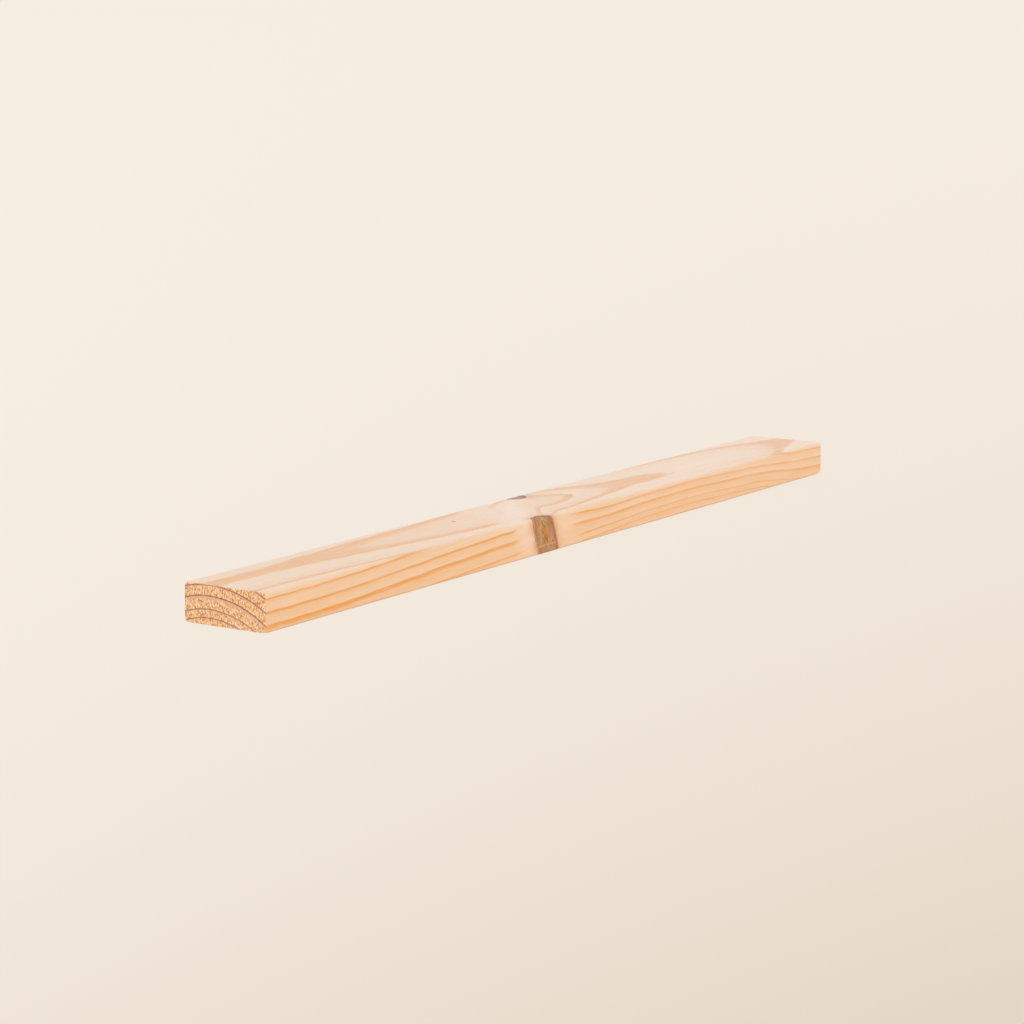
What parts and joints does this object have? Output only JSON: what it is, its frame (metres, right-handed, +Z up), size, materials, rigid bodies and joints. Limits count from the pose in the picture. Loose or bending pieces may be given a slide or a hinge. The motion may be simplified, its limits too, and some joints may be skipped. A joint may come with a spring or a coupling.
{
  "type": "planed pine batten",
  "caption": "Short length of planed softwood batten, rectangular with eased arrises, sawn ends and dead knots at both edges. Lies flat or is fixed to as a rail or sighting stick.",
  "frame": {"origin": "middle of the lower wide face, which the batten rests on", "axes": "+X along the grain towards the far end, +Y across the width towards the far narrow edge, +Z up through the thickness"},
  "size_m": [0.51, 0.045, 0.018],
  "materials": {
    "stem_wood": "planed and unfinished, with sawn ends",
    "dead_knot_wood": "dead branch wood, planed flush",
    "bark": "thin dark encased bark",
    "resin": "hardened amber resin"
  },
  "bodies": {
    "root": {"batten": "stem_wood", "near_edge_knot": "dead_knot_wood", "near_edge_knot_bark": "bark", "resin_streak": "resin", "far_edge_knot": "dead_knot_wood", "far_edge_knot_bark": "bark", "pin_knot": "dead_knot_wood"}
  },
  "joints": []
}
